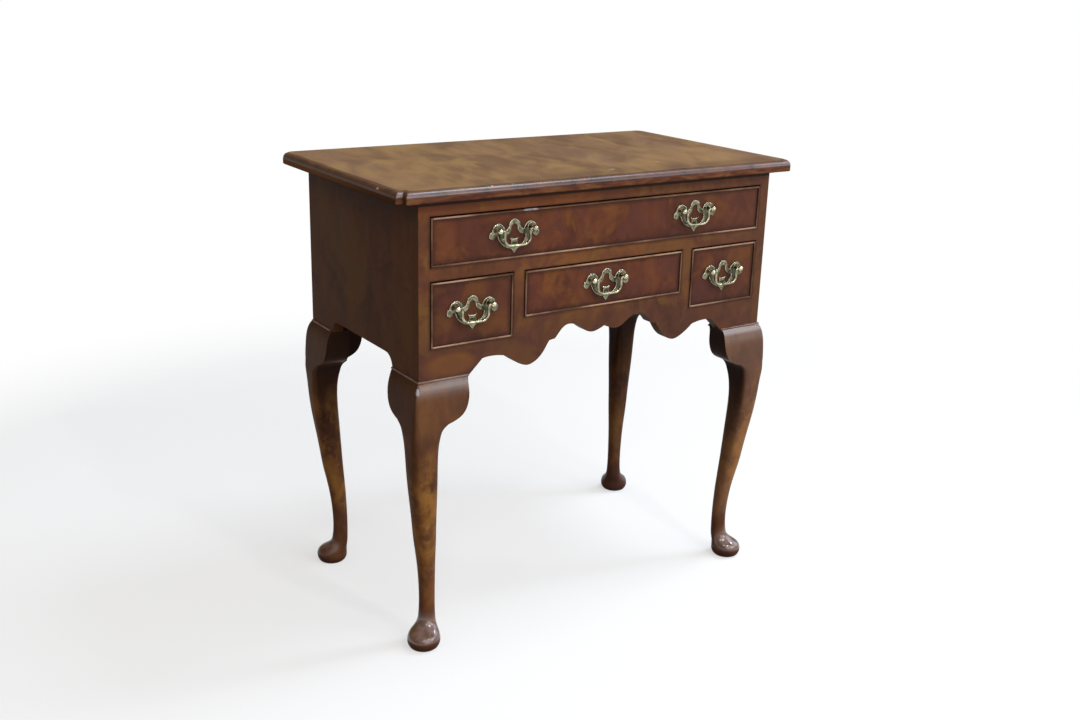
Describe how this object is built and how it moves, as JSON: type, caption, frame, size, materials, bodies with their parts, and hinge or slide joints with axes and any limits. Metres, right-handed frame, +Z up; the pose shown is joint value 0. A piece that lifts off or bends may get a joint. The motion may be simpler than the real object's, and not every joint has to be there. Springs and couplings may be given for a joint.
{
  "type": "lowboy",
  "caption": "Small dressing table on cabriole legs: a wide drawer over a row of smaller ones, shaped apron, moulded top and hanging brass bail handles.",
  "frame": {"origin": "on the floor, under the centre of the top board", "axes": "+Z up, +X to the right along the front, the drawers face -Y"},
  "size_m": [0.782, 0.446, 0.767],
  "materials": {
    "case_veneer": "walnut veneer, waxed",
    "drawer_veneer": "figured walnut veneer, waxed",
    "top_veneer": "walnut veneer, polished",
    "leg_wood": "solid walnut, polished",
    "bead_wood": "solid walnut, worn",
    "secondary_wood": "plain softwood, stained",
    "drawer_lining": "plain oak",
    "brass": "aged, partly polished",
    "steel": "plain"
  },
  "bodies": {
    "carcass": {"top_board": "top_veneer", "side_panel_left": "case_veneer", "side_panel_right": "case_veneer", "back_panel": "secondary_wood", "stile_left": "case_veneer", "stile_right": "case_veneer", "top_rail": "case_veneer", "mid_rail": "case_veneer", "front_apron": "case_veneer", "divider_left": "case_veneer", "divider_right": "case_veneer", "leg_front_left": "leg_wood", "leg_front_right": "leg_wood", "leg_back_left": "leg_wood", "leg_back_right": "leg_wood", "knee_blocks_front": "leg_wood", "knee_blocks_back": "leg_wood", "knee_beads": "bead_wood", "dust_board": "secondary_wood", "partitions": "secondary_wood", "drawer_runners": "secondary_wood", "kickers": "secondary_wood", "glue_blocks": "secondary_wood", "top_screws": "steel", "drawer_stops": "secondary_wood"},
    "long_drawer": {"long_drawer_front": "drawer_veneer", "long_drawer_sides": "drawer_lining", "long_drawer_back": "drawer_lining", "long_drawer_bottom": "drawer_lining", "long_drawer_cock_bead": "bead_wood", "long_drawer_posts": "brass", "long_left_backplate": "brass", "long_right_backplate": "brass"},
    "long_left_handle": {"long_left_bail": "brass"},
    "long_right_handle": {"long_right_bail": "brass"},
    "left_drawer": {"left_drawer_front": "drawer_veneer", "left_drawer_sides": "drawer_lining", "left_drawer_back": "drawer_lining", "left_drawer_bottom": "drawer_lining", "left_drawer_cock_bead": "bead_wood", "left_drawer_posts": "brass", "left_backplate": "brass"},
    "left_handle": {"left_bail": "brass"},
    "centre_drawer": {"centre_drawer_front": "drawer_veneer", "centre_drawer_sides": "drawer_lining", "centre_drawer_back": "drawer_lining", "centre_drawer_bottom": "drawer_lining", "centre_drawer_cock_bead": "bead_wood", "centre_drawer_posts": "brass", "centre_backplate": "brass"},
    "centre_handle": {"centre_bail": "brass"},
    "right_drawer": {"right_drawer_front": "drawer_veneer", "right_drawer_sides": "drawer_lining", "right_drawer_back": "drawer_lining", "right_drawer_bottom": "drawer_lining", "right_drawer_cock_bead": "bead_wood", "right_drawer_posts": "brass", "right_backplate": "brass"},
    "right_handle": {"right_bail": "brass"}
  },
  "joints": [
    {"name": "long_drawer_slide", "type": "slide", "parent": "carcass", "child": "long_drawer", "axis": [0, -1, 0], "range_m": [0, 0.27]},
    {"name": "long_left_bail_swing", "type": "hinge", "parent": "long_drawer", "child": "long_left_handle", "pos_m": [-0.182, -0.213, 0.69345], "axis": [-1, 0, 0], "range_deg": [-14, 190]},
    {"name": "long_right_bail_swing", "type": "hinge", "parent": "long_drawer", "child": "long_right_handle", "pos_m": [0.182, -0.213, 0.69345], "axis": [-1, 0, 0], "range_deg": [-14, 190]},
    {"name": "left_drawer_slide", "type": "slide", "parent": "carcass", "child": "left_drawer", "axis": [0, -1, 0], "range_m": [0, 0.27]},
    {"name": "left_bail_swing", "type": "hinge", "parent": "left_drawer", "child": "left_handle", "pos_m": [-0.25585, -0.213, 0.58035], "axis": [-1, 0, 0], "range_deg": [-14, 190]},
    {"name": "centre_drawer_slide", "type": "slide", "parent": "carcass", "child": "centre_drawer", "axis": [0, -1, 0], "range_m": [0, 0.27]},
    {"name": "centre_bail_swing", "type": "hinge", "parent": "centre_drawer", "child": "centre_handle", "pos_m": [0, -0.213, 0.5948], "axis": [-1, 0, 0], "range_deg": [-14, 190]},
    {"name": "right_drawer_slide", "type": "slide", "parent": "carcass", "child": "right_drawer", "axis": [0, -1, 0], "range_m": [0, 0.27]},
    {"name": "right_bail_swing", "type": "hinge", "parent": "right_drawer", "child": "right_handle", "pos_m": [0.25585, -0.213, 0.58035], "axis": [-1, 0, 0], "range_deg": [-14, 190]}
  ]
}
